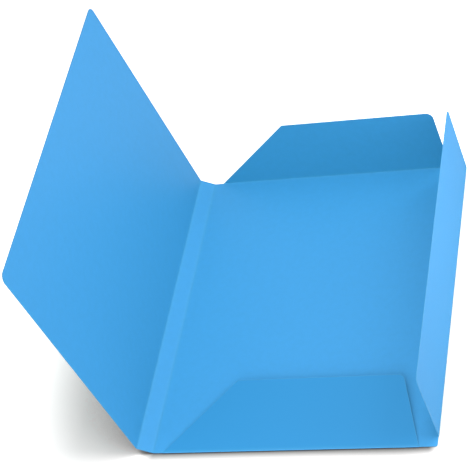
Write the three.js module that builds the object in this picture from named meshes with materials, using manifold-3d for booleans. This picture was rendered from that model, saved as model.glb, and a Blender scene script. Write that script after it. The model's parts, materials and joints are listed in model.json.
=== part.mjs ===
import * as THREE from 'three';
import { mergeVertices } from 'three/addons/utils/BufferGeometryUtils.js';
import Module from 'manifold-3d';

// Three-flap document folder, cut from one sheet of card and scored along five straight creases.
// Millimetres, +Z up. The origin is the middle of the back panel's underside. +X points from the
// spine to the side flap, +Y from the bottom flap to the top flap.

// The sheet
const CARD_THICKNESS = 0.6;
const FOLDER_HEIGHT = 320;
const BACK_WIDTH = 251;
const SPINE_WIDTH = 15;
const COVER_WIDTH = 236;
const COVER_CORNER_RADIUS = 7;
const BACK_CORNER_RADIUS = 2;

// The top flap and the bottom flap: depth from the crease, and the crease's distance from the
// spine crease and from the side crease
const END_FLAP_DEPTH = 72;
const END_FLAP_SPINE_SETBACK = 8.4;
const END_FLAP_SIDE_SETBACK = 15.1;

// How far each end flap narrows from its crease to its free edge, beside the spine and at the side
const TOP_FLAP_SPINE_TAPER = 78;
const TOP_FLAP_SIDE_TAPER = 4.2;
const BOTTOM_FLAP_SPINE_TAPER = 58;
const BOTTOM_FLAP_SIDE_TAPER = 19;
const END_FLAP_SPINE_RADIUS = 3;
const END_FLAP_SIDE_RADIUS = 7;

// The side flap: depth from the crease, and the crease's distance from the folder's lower and
// upper edge
const SIDE_FLAP_DEPTH = 78;
const SIDE_FLAP_LOWER_SETBACK = 9.5;
const SIDE_FLAP_UPPER_SETBACK = 1.4;
const SIDE_FLAP_RADIUS = 6;

// Scored crease: the bead pressed up on the inner face, and the groove pressed into the outer face
const BEAD_RADIUS = 0.45;
const BEAD_CLEARANCE = 0.3;
const GROOVE_DEPTH = 0.2;
const GROOVE_RUN = 1.1;
const FLAP_END_CLEARANCE = 0.35;

// Fold angles of the open folder, in degrees from the flat sheet
const SPINE_FOLD_ANGLE = 28.5;
const COVER_FOLD_ANGLE = 53;
const TOP_FLAP_FOLD_ANGLE = 90;
const BOTTOM_FLAP_FOLD_ANGLE = 176;
const SIDE_FLAP_FOLD_ANGLE = 93;

// Facets
const CORNER_SEGMENTS = 5;
const BEAD_SIDES = 12;
const CUTTER_MARGIN = 1;

const CARD_BLUE = '#4fb2fa';
const CREASE_BLUE = '#46a5ee';

const HALF_WIDTH = BACK_WIDTH / 2;
const HALF_HEIGHT = FOLDER_HEIGHT / 2;
const CREASE_SETBACK = BEAD_RADIUS + BEAD_CLEARANCE;

// Creases of the three flaps, from end to end, in the back panel's plane
const endFlapStart = -HALF_WIDTH + END_FLAP_SPINE_SETBACK;
const endFlapStop = HALF_WIDTH - END_FLAP_SIDE_SETBACK;
const sideFlapStart = -HALF_HEIGHT + SIDE_FLAP_LOWER_SETBACK;
const sideFlapStop = HALF_HEIGHT - SIDE_FLAP_UPPER_SETBACK;

const manifold = await Module();
manifold.setup();

function material(colour) {
  return new THREE.MeshStandardMaterial({ color: colour, roughness: 0.75, metalness: 0 });
}

// Closed outline through the corners [x, y, radius], each rounded by an arc of its radius.
function roundedOutline(corners) {
  const shape = new THREE.Shape();
  corners.forEach(([x, y, radius], i) => {
    const corner = new THREE.Vector2(x, y);
    if (radius === 0) {
      if (i === 0) shape.moveTo(x, y);
      else shape.lineTo(x, y);
      return;
    }
    const before = corners[(i + corners.length - 1) % corners.length];
    const after = corners[(i + 1) % corners.length];
    const back = new THREE.Vector2(before[0], before[1]).sub(corner).normalize();
    const ahead = new THREE.Vector2(after[0], after[1]).sub(corner).normalize();
    const halfAngle = Math.acos(back.dot(ahead)) / 2;
    const centre = back.clone().add(ahead).normalize()
      .multiplyScalar(radius / Math.sin(halfAngle)).add(corner);
    const reach = radius / Math.tan(halfAngle);
    const begin = back.clone().multiplyScalar(reach).add(corner);
    if (i === 0) shape.moveTo(begin.x, begin.y);
    else shape.lineTo(begin.x, begin.y);
    const start = begin.clone().sub(centre);
    const stop = ahead.clone().multiplyScalar(reach).add(corner).sub(centre);
    const clockwise = back.cross(ahead) > 0;
    shape.absarc(centre.x, centre.y, radius, start.angle(), stop.angle(), clockwise);
  });
  return shape;
}

function toSolid(geometry) {
  const bare = geometry.clone();
  bare.deleteAttribute('normal');
  bare.deleteAttribute('uv');
  const merged = mergeVertices(bare);
  return new manifold.Manifold(new manifold.Mesh({
    numProp: 3,
    vertProperties: new Float32Array(merged.attributes.position.array),
    triVerts: new Uint32Array(merged.index.array),
  }));
}

function toGeometry(solid) {
  const mesh = solid.getMesh();
  const geometry = new THREE.BufferGeometry();
  geometry.setAttribute('position', new THREE.BufferAttribute(mesh.vertProperties, 3));
  geometry.setIndex(new THREE.BufferAttribute(mesh.triVerts, 1));
  geometry.computeVertexNormals();
  return geometry;
}

// Panel of card with its inner face at z = 0 and its outer face one thickness below.
function card(corners) {
  const geometry = new THREE.ExtrudeGeometry(roundedOutline(corners), {
    depth: CARD_THICKNESS, bevelEnabled: false, curveSegments: CORNER_SEGMENTS,
  });
  return toSolid(geometry.translate(0, 0, -CARD_THICKNESS));
}

// Wedge that thins the outer face beside a crease. The crease runs from one point to the other,
// with the panel on its left, and the wedge passes both ends by the overrun.
function groove([x1, y1], [x2, y2], overrun) {
  const length = Math.hypot(x2 - x1, y2 - y1);
  const edge = -CARD_THICKNESS + GROOVE_DEPTH;
  const below = -CARD_THICKNESS - CUTTER_MARGIN;
  const slope = GROOVE_DEPTH / GROOVE_RUN;
  const section = new THREE.Shape([
    new THREE.Vector2(-CUTTER_MARGIN, below),
    new THREE.Vector2(CREASE_SETBACK + GROOVE_RUN + CUTTER_MARGIN / slope, below),
    new THREE.Vector2(CREASE_SETBACK, edge),
    new THREE.Vector2(-CUTTER_MARGIN, edge),
  ]);
  const wedge = new THREE.ExtrudeGeometry(section, {
    depth: length + 2 * overrun, bevelEnabled: false,
  });
  // the section's x points left of the crease and its y up, and the extrusion follows the crease
  wedge.translate(0, 0, -overrun).rotateX(Math.PI / 2).rotateZ(Math.PI / 2);
  const along = Math.atan2(y2 - y1, x2 - x1);
  return toSolid(wedge.rotateZ(along).translate(x1, y1, 0));
}

function creasedCard(name, corners, creases) {
  let solid = card(corners);
  for (const [from, to, overrun] of creases) solid = solid.subtract(groove(from, to, overrun));
  const mesh = new THREE.Mesh(toGeometry(solid), material(CARD_BLUE));
  mesh.name = name;
  return mesh;
}

// Round bead along a crease, from one point to the other in the plane of the inner face.
function bead(name, [x1, y1], [x2, y2]) {
  const length = Math.hypot(x2 - x1, y2 - y1);
  const geometry = new THREE.CylinderGeometry(BEAD_RADIUS, BEAD_RADIUS, length, BEAD_SIDES);
  const mesh = new THREE.Mesh(toGeometry(toSolid(geometry)), material(CREASE_BLUE));
  mesh.name = name;
  mesh.position.set((x1 + x2) / 2, (y1 + y2) / 2, 0);
  mesh.rotation.z = Math.atan2(y2 - y1, x2 - x1) - Math.PI / 2;
  return mesh;
}

// Group whose origin is on a crease. It turns what it holds about that crease.
function fold(parent, position, axis, degrees) {
  const group = new THREE.Group();
  group.position.set(...position);
  group.quaternion.setFromAxisAngle(new THREE.Vector3(...axis), THREE.MathUtils.degToRad(degrees));
  parent.add(group);
  return group;
}

// Rectangle with its cut edges on the folder's outline. Beside each crease it steps back to leave
// room for the bead.
function backPanel() {
  const left = -HALF_WIDTH + CREASE_SETBACK;
  const bottom = -HALF_HEIGHT + CREASE_SETBACK;
  const top = HALF_HEIGHT - CREASE_SETBACK;
  const right = HALF_WIDTH - CREASE_SETBACK;
  const upperRadius = Math.min(BACK_CORNER_RADIUS, SIDE_FLAP_UPPER_SETBACK / 2);
  return creasedCard('back_panel', [
    [left, -HALF_HEIGHT, 0],
    [endFlapStart, -HALF_HEIGHT, 0],
    [endFlapStart, bottom, 0],
    [endFlapStop, bottom, 0],
    [endFlapStop, -HALF_HEIGHT, 0],
    [HALF_WIDTH, -HALF_HEIGHT, BACK_CORNER_RADIUS],
    [HALF_WIDTH, sideFlapStart, 0],
    [right, sideFlapStart, 0],
    [right, sideFlapStop, 0],
    [HALF_WIDTH, sideFlapStop, 0],
    [HALF_WIDTH, HALF_HEIGHT, upperRadius],
    [endFlapStop, HALF_HEIGHT, 0],
    [endFlapStop, top, 0],
    [endFlapStart, top, 0],
    [endFlapStart, HALF_HEIGHT, 0],
    [left, HALF_HEIGHT, 0],
  ], [
    [[-HALF_WIDTH, HALF_HEIGHT], [-HALF_WIDTH, -HALF_HEIGHT], CUTTER_MARGIN],
    [[endFlapStart, -HALF_HEIGHT], [endFlapStop, -HALF_HEIGHT], 0],
    [[HALF_WIDTH, sideFlapStart], [HALF_WIDTH, sideFlapStop], 0],
    [[endFlapStop, HALF_HEIGHT], [endFlapStart, HALF_HEIGHT], 0],
  ]);
}

// Strip between the two spine creases, running to -X from the crease at the back panel.
function spineStrip() {
  return creasedCard('spine_strip', [
    [-SPINE_WIDTH + CREASE_SETBACK, -HALF_HEIGHT, 0],
    [-CREASE_SETBACK, -HALF_HEIGHT, 0],
    [-CREASE_SETBACK, HALF_HEIGHT, 0],
    [-SPINE_WIDTH + CREASE_SETBACK, HALF_HEIGHT, 0],
  ], [
    [[0, -HALF_HEIGHT], [0, HALF_HEIGHT], CUTTER_MARGIN],
    [[-SPINE_WIDTH, HALF_HEIGHT], [-SPINE_WIDTH, -HALF_HEIGHT], CUTTER_MARGIN],
  ]);
}

// Cover running to -X from the spine, with both free corners rounded.
function frontCover() {
  return creasedCard('front_cover', [
    [-COVER_WIDTH, -HALF_HEIGHT, COVER_CORNER_RADIUS],
    [-CREASE_SETBACK, -HALF_HEIGHT, 0],
    [-CREASE_SETBACK, HALF_HEIGHT, 0],
    [-COVER_WIDTH, HALF_HEIGHT, COVER_CORNER_RADIUS],
  ], [
    [[0, -HALF_HEIGHT], [0, HALF_HEIGHT], CUTTER_MARGIN],
  ]);
}

// End flap: a trapezium with a long slanted end beside the spine. It runs to +Y from its crease
// where the sign is 1, and to -Y where it is -1.
function endFlap(name, sign, spineTaper, sideTaper) {
  const start = endFlapStart + FLAP_END_CLEARANCE;
  const stop = endFlapStop - FLAP_END_CLEARANCE;
  const crease = [[endFlapStart, 0], [endFlapStop, 0]];
  if (sign < 0) crease.reverse();
  return creasedCard(name, [
    [start, sign * CREASE_SETBACK, 0],
    [stop, sign * CREASE_SETBACK, 0],
    [stop - sideTaper, sign * END_FLAP_DEPTH, END_FLAP_SIDE_RADIUS],
    [start + spineTaper, sign * END_FLAP_DEPTH, END_FLAP_SPINE_RADIUS],
  ], [
    [...crease, CUTTER_MARGIN],
  ]);
}

// Side flap running to +X from its crease, with both free corners rounded.
function sideFlap() {
  const start = sideFlapStart + FLAP_END_CLEARANCE;
  const stop = sideFlapStop - FLAP_END_CLEARANCE;
  return creasedCard('side_flap', [
    [CREASE_SETBACK, start, 0],
    [SIDE_FLAP_DEPTH, start, SIDE_FLAP_RADIUS],
    [SIDE_FLAP_DEPTH, stop, SIDE_FLAP_RADIUS],
    [CREASE_SETBACK, stop, 0],
  ], [
    [[0, sideFlapStop], [0, sideFlapStart], CUTTER_MARGIN],
  ]);
}

const folder = new THREE.Group();
folder.name = 'document_folder';
const sheet = new THREE.Group();
sheet.position.z = CARD_THICKNESS;
folder.add(sheet);

const endBeadStart = endFlapStart + FLAP_END_CLEARANCE;
const endBeadStop = endFlapStop - FLAP_END_CLEARANCE;
sheet.add(
  backPanel(),
  bead('spine_back_crease', [-HALF_WIDTH, -HALF_HEIGHT], [-HALF_WIDTH, HALF_HEIGHT]),
  bead('top_flap_crease', [endBeadStart, HALF_HEIGHT], [endBeadStop, HALF_HEIGHT]),
  bead('bottom_flap_crease', [endBeadStart, -HALF_HEIGHT], [endBeadStop, -HALF_HEIGHT]),
  bead('side_flap_crease', [HALF_WIDTH, sideFlapStart + FLAP_END_CLEARANCE],
    [HALF_WIDTH, sideFlapStop - FLAP_END_CLEARANCE]),
);

const spine = fold(sheet, [-HALF_WIDTH, 0, 0], [0, 1, 0], SPINE_FOLD_ANGLE);
spine.add(
  spineStrip(),
  bead('spine_cover_crease', [-SPINE_WIDTH, -HALF_HEIGHT], [-SPINE_WIDTH, HALF_HEIGHT]),
);
fold(spine, [-SPINE_WIDTH, 0, 0], [0, 1, 0], COVER_FOLD_ANGLE).add(frontCover());

fold(sheet, [0, HALF_HEIGHT, 0], [1, 0, 0], TOP_FLAP_FOLD_ANGLE)
  .add(endFlap('top_flap', 1, TOP_FLAP_SPINE_TAPER, TOP_FLAP_SIDE_TAPER));
fold(sheet, [0, -HALF_HEIGHT, 0], [-1, 0, 0], BOTTOM_FLAP_FOLD_ANGLE)
  .add(endFlap('bottom_flap', -1, BOTTOM_FLAP_SPINE_TAPER, BOTTOM_FLAP_SIDE_TAPER));
fold(sheet, [HALF_WIDTH, 0, 0], [0, -1, 0], SIDE_FLAP_FOLD_ANGLE).add(sideFlap());

export default folder;
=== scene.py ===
"""Three-flap document folder of sky-blue card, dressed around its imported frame."""

import json
import math

import bpy
import numpy as np
from bpy.props import FloatProperty, FloatVectorProperty, PointerProperty
from bpy.types import Operator, Panel, PropertyGroup
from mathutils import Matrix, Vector


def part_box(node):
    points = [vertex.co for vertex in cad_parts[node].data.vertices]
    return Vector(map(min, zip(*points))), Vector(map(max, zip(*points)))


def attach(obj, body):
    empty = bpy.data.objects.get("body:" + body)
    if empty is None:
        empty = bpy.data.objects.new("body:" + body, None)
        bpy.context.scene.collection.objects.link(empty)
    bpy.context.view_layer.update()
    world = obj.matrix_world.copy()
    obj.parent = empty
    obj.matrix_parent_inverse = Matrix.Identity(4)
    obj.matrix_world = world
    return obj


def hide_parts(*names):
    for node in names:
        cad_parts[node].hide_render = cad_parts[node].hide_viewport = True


bl_info = {
    "name": "Three-flap document folder",
    "version": (1, 0, 0),
    "blender": (4, 5, 0),
    "location": "View3D > Sidebar > Folder",
    "description": "Builds a document folder's card panels and creases, its material and stage",
    "category": "Object",
}

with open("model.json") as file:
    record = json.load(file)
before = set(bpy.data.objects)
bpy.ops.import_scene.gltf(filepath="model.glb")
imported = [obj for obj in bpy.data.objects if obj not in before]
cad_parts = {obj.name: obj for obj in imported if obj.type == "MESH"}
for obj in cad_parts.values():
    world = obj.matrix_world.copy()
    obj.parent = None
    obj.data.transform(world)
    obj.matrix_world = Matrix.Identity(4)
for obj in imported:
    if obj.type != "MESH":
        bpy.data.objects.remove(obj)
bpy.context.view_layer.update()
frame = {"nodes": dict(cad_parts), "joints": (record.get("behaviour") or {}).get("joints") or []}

MM = 0.001
JOINTS = {joint["name"]: joint for joint in frame["joints"]}
UP = np.array([0.0, 0.0, 1.0])

# How finely the card is divided: steps round a corner, along an edge and round it, steps of the
# field, which grow towards the middle, and sides, steps along and steps of an end of a bead
CORNER_STEPS = 10
EDGE_STEP = 4.0 * MM
EDGE_ROUND_STEPS = 3
FIELD_STEPS = 18
FIELD_GROWTH = 1.8
BEAD_SIDES = 20
BEAD_STEP = 4.0 * MM
BEAD_END_STEPS = 4

# Rings beside a cut edge: how far in they lie and how much of the cut edge's tone (partly painted
# shade) they carry. The distance counts in score runs, or in this share of the tightest corner's
# radius if that is less
RIM_INSET = np.array([1.0, 0.7, 0.45, 0.3, 0.18, 0])
RIM_CORNER_SHARE = 0.8
RIM_TONE = np.array([0, 0, 0.1, 0.25, 0.5, 1.0])

# A hinged panel starts this far from its crease, so that panels don't touch in the flat sheet
FOLD_GAP = 0.03 * MM
# In score runs: where the cut edge's tone starts beside a crease, and how far the paler skin goes
CUT_FROM = 0.3
STRETCH_RUNS = 2

# Card: sizes of its cloudy formation and its grain, the grain's height, the formation's swing in
# tone, the strength of the paler skin at a crease, and the dull gloss of calendered card
CLOUD_SIZE = 6 * MM
GRAIN_SIZE = 0.9 * MM
GRAIN_HEIGHT = 0.02 * MM
CLOUD_SWING = 0.05
STRETCH_SHARE = 0.2
ROUGHNESS = (0.46, 0.60)
CARD_IOR = 1.5
CARD_SPECULAR = 0.3

# Lamps: name, azimuth and elevation in degrees, distance and size in metres, power in watts
LAMP_AIM = (0.0, 0.0, 0.05)
LAMPS = (
    ("top_lamp", 0, 84, 1.2, 0.4, 5.4),
    ("front_lamp", -90, 22, 1.2, 0.8, 4.6),
    ("right_lamp", 28, 32, 0.45, 0.3, 0.76),
    ("flap_lamp", -10, 12, 0.42, 0.25, 0.35),
    ("back_lamp", 207, 28, 1.2, 0.8, 2.2),
)
# World: what it gives the folder, and what the camera and reflections see, where 1 is white
DOME = 0.37
DOME_SEEN = 1.0

# Half the floor's side
FLOOR_HALF = 6.0
# Floor as the camera sees it: what its colour is multiplied by in the open and in full shadow
FLOOR_GAIN = 2.0
SHADE_GAIN = (0.67, 0.57, 0.57)
# Direction to the lamps, and how far away the card still shades the floor, softly and as a line
SHADE_FROM = (0.68, 0.2, 0.7)
SHADE_REACH = 140 * MM
LINE_REACH = 8 * MM
# Open shares between which the soft shadow and the line fade, and what is left under the line
SHADE_FADE = (0.35, 0.85)
LINE_FADE = (0.6, 0.9)
LINE_GAIN = 0.6
# Painted contact shadow band: its width, what is left at its darkest, and how far the footprint's
# right and far sides are drawn in for it
CONTACT_RUN = 13 * MM
CONTACT_GAIN = 0.08
CONTACT_INSET = (8 * MM, 13 * MM, 0)
# Distances from the middle between which the floor turns into the white background
WHITE_FADE = (0.4, 1.2)

# Camera: sensor width in millimetres, nearest and furthest depth in metres
SENSOR_WIDTH = 36
CLIP = (0.05, 50)


def linear(colour_hex):
    """sRGB hex to linear RGB."""
    channels = [int(colour_hex[i:i + 2], 16) / 255 for i in (1, 3, 5)]
    return tuple(c / 12.92 if c <= 0.04045 else ((c + 0.055) / 1.055) ** 2.4 for c in channels)


class FOLDER_PG_sheet(PropertyGroup):
    """Sizes of the card that the frame's boxes don't give by themselves."""

    cover_radius: FloatProperty(
        name="Cover corner radius", description="Radius of the cover's two free corners",
        default=7 * MM, unit="LENGTH")
    back_radius: FloatProperty(
        name="Back corner radius", description="Radius of the back panel's two free corners",
        default=2 * MM, unit="LENGTH")
    end_radius: FloatProperty(
        name="End flap corner radius",
        description="Radius of an end flap's corner beside the side flap",
        default=7 * MM, unit="LENGTH")
    side_radius: FloatProperty(
        name="Side flap corner radius", description="Radius of the side flap's two free corners",
        default=6 * MM, unit="LENGTH")
    slant_radius: FloatProperty(
        name="Slanted corner radius",
        description="Radius where an end flap's slanted end meets its free edge",
        default=3 * MM, unit="LENGTH")
    top_slant: FloatProperty(
        name="Top flap slant", description="How far the top flap narrows beside the spine",
        default=78 * MM, unit="LENGTH")
    top_side_slant: FloatProperty(
        name="Top flap side slant", description="How far the top flap narrows beside the side flap",
        default=4.2 * MM, unit="LENGTH")
    bottom_slant: FloatProperty(
        name="Bottom flap slant", description="How far the bottom flap narrows beside the spine",
        default=58 * MM, unit="LENGTH")
    bottom_side_slant: FloatProperty(
        name="Bottom flap side slant",
        description="How far the bottom flap narrows beside the side flap",
        default=19 * MM, unit="LENGTH")
    groove_depth: FloatProperty(
        name="Score depth",
        description="Depth of the score pressed into the outer face at a crease",
        default=0.2 * MM, unit="LENGTH")
    groove_run: FloatProperty(
        name="Score run", description="Distance from a crease over which the score fades",
        default=1.4 * MM, unit="LENGTH")
    edge_radius: FloatProperty(
        name="Cut edge radius", description="Rounding that the die leaves along a cut edge",
        default=0.12 * MM, unit="LENGTH")
    bead_radius: FloatProperty(
        name="Crease bead radius", description="Radius of the ridge pressed up on the inner face",
        default=0.4 * MM, unit="LENGTH")


class FOLDER_PG_finish(PropertyGroup):
    """Colours of the card."""

    card: FloatVectorProperty(
        name="Card", description="Inner face of the dyed card", subtype="COLOR",
        default=linear("#48aaef"), min=0, max=1)
    # Outer face colour, darker than the card: painted shade. It darkens every outer face; on the
    # bottom flap, which lies nearly flat, it stands in for the shade of a flap tilted away from the
    # lamps
    outer: FloatVectorProperty(
        name="Outer face", description="Smoother outer face of the card, a little deeper",
        subtype="COLOR", default=linear("#349bdd"), min=0, max=1)
    # Cut edge colour, a little darker and greyer than the card: partly the cut edge's own colour,
    # partly painted shade, so the edge reads as a thin shaded line
    core: FloatVectorProperty(
        name="Cut edge", description="Dyed fibres bared by the die along a cut edge",
        subtype="COLOR", default=linear("#4fa4dc"), min=0, max=1)
    crease: FloatVectorProperty(
        name="Crease", description="Dyed skin stretched along a crease", subtype="COLOR",
        default=linear("#62bdee"), min=0, max=1)
    # Bounce colour: painted shade tone, given to light bounced off the card instead of the card's
    # own colour
    bounce: FloatVectorProperty(
        name="Bounce", description="What the card throws onto its neighbours", subtype="COLOR",
        default=linear("#5caeac"), min=0, max=1)
    floor: FloatVectorProperty(
        name="Floor", description="Plain pale floor", subtype="COLOR",
        default=linear("#f3efef"), min=0, max=1)


class FOLDER_PG_camera(PropertyGroup):
    """Camera at the photograph's angle."""

    place: FloatVectorProperty(
        name="Camera place", description="Camera position in the folder's frame", subtype="XYZ",
        unit="LENGTH", default=(0.41014, -0.95108, 1.13708))
    turn: FloatVectorProperty(
        name="Camera turn", description="Camera rotation, XYZ Euler", subtype="EULER",
        default=tuple(math.radians(a) for a in (42.851, 15.245, 9.196)))
    lens: FloatProperty(
        name="Focal length", description="Focal length on a 36 mm sensor, in millimetres",
        default=129.61)
    shift: FloatVectorProperty(
        name="Shift", description="Camera shift across and up, in widths of the frame", size=2,
        default=(-0.0447, 0.0174))


def node(tree, kind, settings=None, inputs=None):
    """Adds a shader node, sets its properties and fills or links its inputs."""
    made = tree.nodes.new(kind)
    for name, value in (settings or {}).items():
        setattr(made, name, value)
    for name, value in (inputs or {}).items():
        if isinstance(value, bpy.types.NodeSocket):
            tree.links.new(value, made.inputs[name])
        else:
            made.inputs[name].default_value = value
    return made


def shade(colour, share):
    """Colour with every channel scaled, with its alpha."""
    return (*(min(1, channel * share) for channel in colour), 1)


def new_material(name):
    """Empty node material and its tree."""
    material = bpy.data.materials.new(name)
    material.use_nodes = True
    material.node_tree.nodes.clear()
    return material, material.node_tree


def sheet_local(joint_names):
    """Place of a panel hinged by these joints, from the back panel outwards.

    Returns the crease's middle, the direction along the crease, the direction away from it in the
    panel, and the normal of the inner face. A joint's low limit is the flat sheet, so the fold
    angle at rest is minus that limit. With the crease along a, the flat panel runs to z x a, and
    the fold turns that direction up about a.
    """
    last = JOINTS[joint_names[-1]]
    angle = math.radians(-sum(JOINTS[name]["range_deg"][0] for name in joint_names))
    along = np.array(last["axis"], float)
    flat = np.cross(UP, along)
    away = flat * math.cos(angle) + UP * math.sin(angle)
    inner = UP * math.cos(angle) - flat * math.sin(angle)
    return np.array(last["pos_m"], float), along, away, inner


def extent(node_name, place):
    """Lowest and highest place of a CAD node along the crease, and away from it."""
    origin, along, away, _ = place
    mesh = frame["nodes"][node_name].data
    flat = np.empty(len(mesh.vertices) * 3)
    mesh.vertices.foreach_get("co", flat)
    points = flat.reshape(-1, 3) - origin
    u, v = points @ along, points @ away
    return u.min(), u.max(), v.min(), v.max()


def rounded_outline(corners):
    """Closed outline through corners (u, v, radius), each rounded by an arc, in even steps."""
    points = []
    count = len(corners)
    for i, (u, v, radius) in enumerate(corners):
        here = np.array([u, v])
        back = np.array(corners[i - 1][:2]) - here
        ahead = np.array(corners[(i + 1) % count][:2]) - here
        back = back / np.linalg.norm(back)
        ahead = ahead / np.linalg.norm(ahead)
        if radius == 0:
            points.append(here[None, :])
            continue
        half = math.acos(np.clip(back @ ahead, -1, 1)) / 2
        middle = (back + ahead) / np.linalg.norm(back + ahead)
        centre = here + middle * radius / math.sin(half)
        sweep = np.linspace(-1, 1, CORNER_STEPS + 1) * (math.pi / 2 - half)
        side = (ahead - back) / np.linalg.norm(ahead - back)
        arc = centre - radius * (np.cos(sweep)[:, None] * middle - np.sin(sweep)[:, None] * side)
        points.append(arc)
    ring = np.concatenate(points)
    filled = []
    for start, stop in zip(ring, np.roll(ring, -1, axis=0)):
        steps = max(1, int(round(np.linalg.norm(stop - start) / EDGE_STEP)))
        filled.append(start + (stop - start) * (np.arange(steps) / steps)[:, None])
    return np.concatenate(filled)


def line_distance(u, v, line):
    """Distance of points from a crease given as two ends, all in the panel's plane."""
    start, stop = np.array(line[0]), np.array(line[1])
    run = stop - start
    share = np.clip(((u - start[0]) * run[0] + (v - start[1]) * run[1]) / (run @ run), 0, 1)
    return np.hypot(u - start[0] - share * run[0], v - start[1] - share * run[1])


def inset_outline(ring, distance):
    """Outline moved inwards: corners go along their mitres, so each side moves by the distance."""
    along = np.roll(ring, -1, axis=0) - ring
    along = along / np.linalg.norm(along, axis=1)[:, None]
    after = np.stack([-along[:, 1], along[:, 0]], axis=1)
    before = np.roll(after, 1, axis=0)
    mitre = (before + after) / (1 + (before * after).sum(axis=1))[:, None]
    return ring + distance * mitre


def card_panel(name, place, corners, creases):
    """One panel of card as a closed mesh.

    The surface is a profile carried round the outline: it starts in the middle of the outer face,
    runs out to the cut edge, round it by quarter arcs, and back in over the inner face. Near the
    edge the outline is inset by a distance, and further in it shrinks to the middle by the factor
    1 - x^1.8, with x even from 0 to 1. The outer face rises by the score's depth times
    1 - distance / run beside a crease.
    """
    sheet = bpy.context.scene.folder_sheet
    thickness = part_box("back_panel")[1].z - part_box("back_panel")[0].z
    radius = sheet.edge_radius
    ring = rounded_outline(corners)
    middle = (ring.min(axis=0) + ring.max(axis=0)) / 2
    tightest = min([corner[2] for corner in corners if corner[2] > 0], default=sheet.back_radius)
    near = RIM_INSET * min(RIM_CORNER_SHARE * tightest, sheet.groove_run) + radius
    quarter = np.linspace(0, math.pi / 2, EDGE_ROUND_STEPS + 1)[1:]
    arc_inset = radius * (1 - np.sin(quarter))
    arc_drop = radius * (1 - np.cos(quarter))

    side_inset = np.concatenate([near, arc_inset])
    side_drop = np.concatenate([np.zeros(len(near)), arc_drop])
    side_cut = np.concatenate([RIM_TONE, np.ones(len(arc_inset))])
    rings = np.stack([inset_outline(ring, distance) for distance in side_inset])
    shrink = 1 - np.linspace(0, 1, FIELD_STEPS + 1)[1:-1] ** FIELD_GROWTH
    field = middle + (rings[0] - middle)[None] * shrink[::-1, None, None]
    half = np.concatenate([field, rings])
    half_drop = np.concatenate([np.zeros(len(field)), side_drop])
    half_cut = np.concatenate([np.zeros(len(field)), side_cut])
    grid = np.concatenate([half, half[::-1]])
    height = np.concatenate([half_drop - thickness, -half_drop[::-1]])
    cut = np.concatenate([half_cut, half_cut[::-1]])

    flat = np.concatenate([grid.reshape(-1, 2), [middle, middle]])
    u, v = flat[:, 0], flat[:, 1]
    w = np.concatenate([np.repeat(height, len(ring)), [-thickness, 0]])
    cut = np.concatenate([np.repeat(cut, len(ring)), [0, 0]])
    from_crease = np.min([line_distance(u, v, line) for line in creases], axis=0)
    outer_share = np.clip(-w / thickness, 0, 1)
    w = w + outer_share * sheet.groove_depth * np.clip(1 - from_crease / sheet.groove_run, 0, 1)

    origin, along, away, inner = place
    points = origin + u[:, None] * along + v[:, None] * away + w[:, None] * inner
    piece = mesh_piece(name, points, closed_faces(len(grid), len(ring)))
    runs = from_crease / sheet.groove_run
    store(piece, "cut_edge", cut * np.clip(runs - CUT_FROM, 0, 1))
    store(piece, "outer_face", outer_share)
    store(piece, "crease_near", np.clip(1 - runs / STRETCH_RUNS, 0, 1))
    return piece


def closed_faces(rows, columns):
    """Faces of a grid of rings: quads from ring to ring, and a fan at each end.

    The fans meet in the two points that follow the grid's, first the first ring's, then the last's.
    """
    index = np.arange(rows * columns).reshape(rows, columns)
    after = np.roll(index, -1, axis=1)
    quads = np.stack([index[:-1], after[:-1], after[1:], index[1:]], axis=-1).reshape(-1, 4)
    first, last = index.size, index.size + 1
    start = np.stack([np.full(columns, first), after[0], index[0]], axis=-1)
    end = np.stack([np.full(columns, last), index[-1], after[-1]], axis=-1)
    return quads.tolist() + start.tolist() + end.tolist()


def mesh_piece(name, points, faces):
    """New object at the origin, with its place in its mesh and smooth faces."""
    mesh = bpy.data.meshes.new(name)
    mesh.from_pydata(points.tolist(), [], faces)
    mesh.shade_smooth()
    piece = bpy.data.objects.new(name, mesh)
    bpy.context.scene.collection.objects.link(piece)
    return piece


def store(piece, name, values):
    """Keeps one number per vertex for the material."""
    layer = piece.data.attributes.new(name, "FLOAT", "POINT")
    layer.data.foreach_set("value", values.astype(np.float32))


def crease_bead(name, start, stop):
    """Ridge along a crease: a round section carried from end to end, closed by two domes.

    The radius along the ridge is the bead's radius times the square root of 1 - x^2 in the last
    stretch, where x runs from 0 to 1 towards the end, so both ends close in a half ball. The
    section is square to the crease, and every crease is level.
    """
    radius = bpy.context.scene.folder_sheet.bead_radius
    run = np.linalg.norm(stop - start)
    along = (stop - start) / run
    side = np.cross(along, UP)
    lift = np.cross(side, along)
    quarter = np.linspace(0, math.pi / 2, BEAD_END_STEPS + 1)[1:]
    rise, reach = radius * np.sin(quarter), radius * (1 - np.cos(quarter))
    body = np.linspace(radius, run - radius, max(2, int(run / BEAD_STEP)))[1:-1]
    at = np.concatenate([reach, body, run - reach[::-1]])
    size = np.concatenate([rise, np.full(len(body), radius), rise[::-1]])
    turn = np.arange(BEAD_SIDES) * (2 * math.pi / BEAD_SIDES)
    spoke = np.cos(turn)[:, None] * side + np.sin(turn)[:, None] * lift
    grid = start + at[:, None, None] * along + size[:, None, None] * spoke[None]
    points = np.concatenate([grid.reshape(-1, 3), [start, stop]])
    piece = mesh_piece(name, points, closed_faces(len(at), BEAD_SIDES))
    store(piece, "cut_edge", np.zeros(len(points)))
    store(piece, "outer_face", np.zeros(len(points)))
    store(piece, "crease_near", np.ones(len(points)))
    return piece


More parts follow.
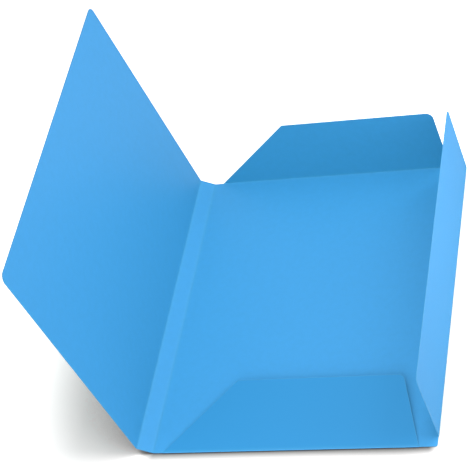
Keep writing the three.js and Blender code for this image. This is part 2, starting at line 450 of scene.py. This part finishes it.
def card_material():
    """Dyed folder card, calendered: dull, with a fine fibre grain and a faint cloudy formation."""
    material, tree = new_material("dyed_folder_card")
    finish = bpy.context.scene.folder_finish
    where = node(tree, "ShaderNodeTexCoord")
    # Cloudy formation of the fibres, about 6 mm across
    cloud = node(tree, "ShaderNodeTexNoise", inputs={
        "Vector": where.outputs["Object"], "Scale": 1 / CLOUD_SIZE, "Detail": 3.0,
        "Roughness": 0.6})
    # Fibre grain, about 0.9 mm, coarser than the real 0.1 mm so that it shows
    grain = node(tree, "ShaderNodeTexNoise", inputs={
        "Vector": where.outputs["Object"], "Scale": 1 / GRAIN_SIZE, "Detail": 2.0,
        "Roughness": 0.7})
    tone = node(tree, "ShaderNodeMix", {"data_type": "RGBA"}, {
        "Factor": cloud.outputs["Fac"], "A": shade(finish.card, 1 - CLOUD_SWING),
        "B": shade(finish.card, 1 + CLOUD_SWING)})
    # Painted shade: the outer face takes the darker outer colour, so the bottom flap reads as
    # tilted away from the lamps
    face = node(tree, "ShaderNodeAttribute", {"attribute_name": "outer_face"})
    outer_shaded = node(tree, "ShaderNodeMix", {"data_type": "RGBA"}, {
        "Factor": face.outputs["Fac"], "A": tone.outputs["Result"], "B": (*finish.outer, 1)})
    # Folding stretches the dyed skin, so a crease is a little paler
    fold = node(tree, "ShaderNodeAttribute", {"attribute_name": "crease_near"})
    stretch = node(tree, "ShaderNodeMath", {"operation": "MULTIPLY"}, {
        0: fold.outputs["Fac"], 1: STRETCH_SHARE})
    stretched = node(tree, "ShaderNodeMix", {"data_type": "RGBA"}, {
        "Factor": stretch.outputs["Value"], "A": outer_shaded.outputs["Result"], "B": (*finish.crease, 1)})
    # Cut edges and the rings beside them take the cut edge colour, partly painted shade along the
    # edge
    edge = node(tree, "ShaderNodeAttribute", {"attribute_name": "cut_edge"})
    dyed = node(tree, "ShaderNodeMix", {"data_type": "RGBA"}, {
        "Factor": edge.outputs["Fac"], "A": stretched.outputs["Result"], "B": (*finish.core, 1)})
    rough = node(tree, "ShaderNodeMapRange", inputs={
        "Value": grain.outputs["Fac"], "To Min": ROUGHNESS[0], "To Max": ROUGHNESS[1]})
    bump = node(tree, "ShaderNodeBump", inputs={
        "Height": grain.outputs["Fac"], "Distance": GRAIN_HEIGHT, "Strength": 0.6})
    # Painted shade tone: light bounced off the card takes the greener bounce colour, so shaded
    # flaps turn teal and not a strong blue
    ray = node(tree, "ShaderNodeLightPath")
    colour = node(tree, "ShaderNodeMix", {"data_type": "RGBA"}, {
        "Factor": ray.outputs["Is Diffuse Ray"], "A": dyed.outputs["Result"],
        "B": (*finish.bounce, 1)})
    card = node(tree, "ShaderNodeBsdfPrincipled", inputs={
        "Base Color": colour.outputs["Result"], "Roughness": rough.outputs["Result"],
        "Normal": bump.outputs["Normal"], "IOR": CARD_IOR, "Specular IOR Level": CARD_SPECULAR})
    node(tree, "ShaderNodeOutputMaterial", inputs={"Surface": card.outputs["BSDF"]})
    return material


def floor_material():
    """Matt pale studio floor, white to the camera where no shadow of the folder lies on it."""
    material, tree = new_material("matt_studio_floor")
    pale = bpy.context.scene.folder_finish.floor
    # Soft shadow, a little warm against the blue bounce: the open share of the half of space on
    # the lamps' side, within reach
    lamps_side = node(tree, "ShaderNodeCombineXYZ", inputs=dict(zip("XYZ", SHADE_FROM)))
    sky = node(tree, "ShaderNodeAmbientOcclusion", {"samples": 16}, {
        "Distance": SHADE_REACH, "Normal": lamps_side.outputs["Vector"]})
    open_share = node(tree, "ShaderNodeMapRange", inputs={
        "Value": sky.outputs["AO"], "From Min": SHADE_FADE[0], "From Max": SHADE_FADE[1]})
    soft = node(tree, "ShaderNodeMix", {"data_type": "RGBA"}, {
        "Factor": open_share.outputs["Result"], "A": (*SHADE_GAIN, 1),
        "B": (FLOOR_GAIN, FLOOR_GAIN, FLOOR_GAIN, 1)})
    # Contact line: the same within a short reach, so that the thin card shows
    near = node(tree, "ShaderNodeAmbientOcclusion", {"samples": 16}, {
        "Distance": LINE_REACH, "Normal": lamps_side.outputs["Vector"]})
    line = node(tree, "ShaderNodeMapRange", inputs={
        "Value": near.outputs["AO"], "From Min": LINE_FADE[0], "From Max": LINE_FADE[1],
        "To Min": LINE_GAIN})
    # Painted contact shadow: a dark band along the two edges away from the lamps, painted by the
    # distance from the back panel's footprint, drawn in on the lamps' side
    low, high = (Vector((corner.x, corner.y, 0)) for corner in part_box("back_panel"))
    high -= Vector(CONTACT_INSET)
    where = node(tree, "ShaderNodeTexCoord")
    from_middle = node(tree, "ShaderNodeVectorMath", {"operation": "SUBTRACT"}, {
        0: where.outputs["Object"], 1: (low + high) / 2})
    aside = node(tree, "ShaderNodeVectorMath", {"operation": "ABSOLUTE"}, {
        0: from_middle.outputs["Vector"]})
    beyond = node(tree, "ShaderNodeVectorMath", {"operation": "SUBTRACT"}, {
        0: aside.outputs["Vector"], 1: (high - low) / 2})
    outside = node(tree, "ShaderNodeVectorMath", {"operation": "MAXIMUM"}, {
        0: beyond.outputs["Vector"], 1: (0, 0, 0)})
    clear = node(tree, "ShaderNodeVectorMath", {"operation": "LENGTH"}, {
        0: outside.outputs["Vector"]})
    band = node(tree, "ShaderNodeMapRange", inputs={
        "Value": clear.outputs["Value"], "From Max": CONTACT_RUN, "To Min": CONTACT_GAIN})
    contact = node(tree, "ShaderNodeMath", {"operation": "MULTIPLY"}, {
        0: line.outputs["Result"], 1: band.outputs["Result"]})
    gain = node(tree, "ShaderNodeVectorMath", {"operation": "SCALE"}, {
        0: soft.outputs["Result"], "Scale": contact.outputs["Value"]})
    seen = node(tree, "ShaderNodeVectorMath", {"operation": "MULTIPLY"}, {
        0: gain.outputs["Vector"], 1: pale[:]})
    ray = node(tree, "ShaderNodeLightPath")
    colour = node(tree, "ShaderNodeMix", {"data_type": "RGBA"}, {
        "Factor": ray.outputs["Is Camera Ray"], "A": (*pale, 1), "B": seen.outputs["Vector"]})
    paint = node(tree, "ShaderNodeBsdfDiffuse", inputs={"Color": colour.outputs["Result"]})
    # Far floor goes over to the white background
    reach = node(tree, "ShaderNodeVectorMath", {"operation": "LENGTH"}, {
        0: where.outputs["Object"]})
    fade = node(tree, "ShaderNodeMapRange", {"interpolation_type": "SMOOTHSTEP"}, {
        "Value": reach.outputs["Value"], "From Min": WHITE_FADE[0], "From Max": WHITE_FADE[1]})
    share = node(tree, "ShaderNodeMath", {"operation": "MULTIPLY"}, {
        0: fade.outputs["Result"], 1: ray.outputs["Is Camera Ray"]})
    white = node(tree, "ShaderNodeEmission", inputs={"Color": (1, 1, 1, 1), "Strength": 1.0})
    both = node(tree, "ShaderNodeMixShader", inputs={
        0: share.outputs["Value"], 1: paint.outputs["BSDF"], 2: white.outputs["Emission"]})
    node(tree, "ShaderNodeOutputMaterial", inputs={"Surface": both.outputs["Shader"]})
    return material


def dress(piece, body, cad_node):
    """Puts a finished piece in place of its CAD node."""
    material = bpy.data.materials.get("dyed_folder_card") or card_material()
    piece.data.materials.append(material)
    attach(piece, body)
    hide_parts(cad_node)


class FOLDER_OT_back_panel(Operator):
    """Back panel: the rectangle between the spine crease and the side crease"""

    bl_idname = "folder.back_panel"
    bl_label = "Back panel"

    def execute(self, context):
        sheet = context.scene.folder_sheet
        spine, side = JOINTS["spine_fold"]["pos_m"], JOINTS["side_flap_fold"]["pos_m"]
        top, bottom = JOINTS["top_flap_fold"]["pos_m"], JOINTS["bottom_flap_fold"]["pos_m"]
        left, right, low, high = spine[0], side[0], bottom[1], top[1]
        place = (np.array([0.0, 0.0, top[2]]), np.array([1.0, 0, 0]), np.array([0, 1.0, 0]), UP)
        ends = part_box("top_flap_crease")
        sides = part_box("side_flap_crease")
        creases = [
            ((left, low), (left, high)),
            ((ends[0].x, high), (ends[1].x, high)),
            ((ends[0].x, low), (ends[1].x, low)),
            ((right, sides[0].y), (right, sides[1].y)),
        ]
        # The side crease ends close below the upper corner, which is left room for its rounding
        upper = min(sheet.back_radius, (high - sides[1].y) / 2)
        corners = [(left, low, 0), (right, low, sheet.back_radius), (right, high, upper),
                   (left, high, 0)]
        piece = card_panel("back_panel_card", place, corners, creases)
        dress(piece, "back", "back_panel")
        return {"FINISHED"}


class FOLDER_OT_spine_strip(Operator):
    """Spine strip: the narrow panel between the two spine creases"""

    bl_idname = "folder.spine_strip"
    bl_label = "Spine strip"

    def execute(self, context):
        place = sheet_local(["spine_fold"])
        low, high, near, far = extent("spine_strip", place)
        # The CAD strip keeps the same gap to both creases
        width = near + far
        creases = [((low, 0), (high, 0)), ((low, width), (high, width))]
        corners = [(low, FOLD_GAP, 0), (high, FOLD_GAP, 0), (high, width - FOLD_GAP, 0),
                   (low, width - FOLD_GAP, 0)]
        piece = card_panel("spine_strip_card", place, corners, creases)
        dress(piece, "spine", "spine_strip")
        return {"FINISHED"}


class FOLDER_OT_front_cover(Operator):
    """Front cover: the large standing panel with two rounded corners"""

    bl_idname = "folder.front_cover"
    bl_label = "Front cover"

    def execute(self, context):
        sheet = context.scene.folder_sheet
        place = sheet_local(["spine_fold", "cover_fold"])
        low, high, _, far = extent("front_cover", place)
        corners = [(low, FOLD_GAP, 0), (high, FOLD_GAP, 0), (high, far, sheet.cover_radius),
                   (low, far, sheet.cover_radius)]
        piece = card_panel("front_cover_card", place, corners, [((low, 0), (high, 0))])
        dress(piece, "cover", "front_cover")
        return {"FINISHED"}


def end_flap(name, joint, body, cad_node, slants, radii):
    """Trapezium from its crease to its free edge. Slants and radii are given from low u to high."""
    place = sheet_local([joint])
    low, high, _, far = extent(cad_node, place)
    corners = [(low, FOLD_GAP, 0), (high, FOLD_GAP, 0), (high - slants[1], far, radii[1]),
               (low + slants[0], far, radii[0])]
    piece = card_panel(name, place, corners, [((low, 0), (high, 0))])
    dress(piece, body, cad_node)


class FOLDER_OT_end_flaps(Operator):
    """Top flap and bottom flap, each with a long slant beside the spine"""

    bl_idname = "folder.end_flaps"
    bl_label = "End flaps"

    def execute(self, context):
        sheet = context.scene.folder_sheet
        end_flap("top_flap_card", "top_flap_fold", "top", "top_flap",
                 (sheet.top_slant, sheet.top_side_slant), (sheet.slant_radius, sheet.end_radius))
        end_flap("bottom_flap_card", "bottom_flap_fold", "bottom", "bottom_flap",
                 (sheet.bottom_side_slant, sheet.bottom_slant),
                 (sheet.end_radius, sheet.slant_radius))
        return {"FINISHED"}


class FOLDER_OT_side_flap(Operator):
    """Side flap: the long flap opposite the spine, with two rounded corners"""

    bl_idname = "folder.side_flap"
    bl_label = "Side flap"

    def execute(self, context):
        sheet = context.scene.folder_sheet
        place = sheet_local(["side_flap_fold"])
        low, high, _, far = extent("side_flap", place)
        corners = [(low, FOLD_GAP, 0), (high, FOLD_GAP, 0), (high, far, sheet.side_radius),
                   (low, far, sheet.side_radius)]
        piece = card_panel("side_flap_card", place, corners, [((low, 0), (high, 0))])
        dress(piece, "side", "side_flap")
        return {"FINISHED"}


class FOLDER_OT_creases(Operator):
    """Ridges pressed up along the five creases"""

    bl_idname = "folder.creases"
    bl_label = "Crease beads"

    def execute(self, context):
        for cad_node, joint, body in (
            ("spine_back_crease", "spine_fold", "back"),
            ("spine_cover_crease", "cover_fold", "spine"),
            ("top_flap_crease", "top_flap_fold", "back"),
            ("bottom_flap_crease", "bottom_flap_fold", "back"),
            ("side_flap_crease", "side_flap_fold", "back"),
        ):
            axis = np.abs(np.array(JOINTS[joint]["axis"], float))
            low, high = (np.array(corner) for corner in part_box(cad_node))
            middle = np.array(JOINTS[joint]["pos_m"], float) * (1 - axis)
            start, stop = middle + low * axis, middle + high * axis
            piece = crease_bead(cad_node + "_bead", start, stop)
            dress(piece, body, cad_node)
        return {"FINISHED"}


def area_light(name, azimuth, elevation, distance, size, power):
    """Square soft lamp facing the folder from an azimuth (0 is +X), elevation and distance."""
    turn, rise = math.radians(azimuth), math.radians(elevation)
    level = math.cos(rise)
    away = Vector((level * math.cos(turn), level * math.sin(turn), math.sin(rise)))
    lamp = bpy.data.lights.new(name, "AREA")
    lamp.size = size
    lamp.energy = power
    holder = bpy.data.objects.new(name, lamp)
    bpy.context.scene.collection.objects.link(holder)
    holder.location = Vector(LAMP_AIM) + away * distance
    holder.rotation_euler = (-away).to_track_quat("-Z", "Y").to_euler()


class FOLDER_OT_stage(Operator):
    """Pale floor, soft studio light and the camera at the photograph's angle"""

    bl_idname = "folder.stage"
    bl_label = "Stage"

    def execute(self, context):
        scene = context.scene
        corners = np.array([(-1, -1, 0), (1, -1, 0), (1, 1, 0), (-1, 1, 0)]) * FLOOR_HALF
        floor = mesh_piece("floor", corners, [(0, 1, 2, 3)])
        floor.data.materials.append(floor_material())

        world = bpy.data.worlds.new("studio")
        world.use_nodes = True
        sky = world.node_tree
        sky.nodes.clear()
        path = node(sky, "ShaderNodeLightPath")
        bright = node(sky, "ShaderNodeMath", {"operation": "MAXIMUM"}, {
            0: path.outputs["Is Camera Ray"], 1: path.outputs["Is Glossy Ray"]})
        strength = node(sky, "ShaderNodeMapRange", inputs={
            "Value": bright.outputs["Value"], "To Min": DOME, "To Max": DOME_SEEN})
        glow = node(sky, "ShaderNodeBackground", inputs={
            "Color": (1, 1, 1, 1), "Strength": strength.outputs["Result"]})
        node(sky, "ShaderNodeOutputWorld", inputs={"Surface": glow.outputs["Background"]})
        scene.world = world

        for name, azimuth, elevation, distance, size, power in LAMPS:
            area_light(name, azimuth, elevation, distance, size, power)

        view = scene.folder_camera
        camera = bpy.data.cameras.new("photo_camera")
        camera.lens = view.lens
        camera.sensor_width = SENSOR_WIDTH
        camera.shift_x, camera.shift_y = view.shift
        camera.clip_start, camera.clip_end = CLIP
        holder = bpy.data.objects.new("photo_camera", camera)
        scene.collection.objects.link(holder)
        holder.location = view.place
        holder.rotation_euler = view.turn
        scene.camera = holder
        scene.view_settings.view_transform = "Standard"
        return {"FINISHED"}


class FOLDER_PT_build(Panel):
    """Lists the folder's building steps"""

    bl_idname = "FOLDER_PT_build"
    bl_label = "Document folder"
    bl_space_type = "VIEW_3D"
    bl_region_type = "UI"
    bl_category = "Folder"

    def draw(self, context):
        for operator in STEPS:
            self.layout.operator(operator.bl_idname)


GROUPS = (FOLDER_PG_sheet, FOLDER_PG_finish, FOLDER_PG_camera)
STEPS = (FOLDER_OT_back_panel, FOLDER_OT_spine_strip, FOLDER_OT_front_cover, FOLDER_OT_end_flaps,
         FOLDER_OT_side_flap, FOLDER_OT_creases, FOLDER_OT_stage)


def register():
    for kind in (*GROUPS, *STEPS, FOLDER_PT_build):
        bpy.utils.register_class(kind)
    bpy.types.Scene.folder_sheet = PointerProperty(type=FOLDER_PG_sheet)
    bpy.types.Scene.folder_finish = PointerProperty(type=FOLDER_PG_finish)
    bpy.types.Scene.folder_camera = PointerProperty(type=FOLDER_PG_camera)


def unregister():
    del bpy.types.Scene.folder_camera
    del bpy.types.Scene.folder_finish
    del bpy.types.Scene.folder_sheet
    for kind in reversed((*GROUPS, *STEPS, FOLDER_PT_build)):
        bpy.utils.unregister_class(kind)


def main():
    register()
    bpy.ops.folder.back_panel()
    bpy.ops.folder.spine_strip()
    bpy.ops.folder.front_cover()
    bpy.ops.folder.end_flaps()
    bpy.ops.folder.side_flap()
    bpy.ops.folder.creases()
    bpy.ops.folder.stage()


if __name__ == "__main__":
    main()
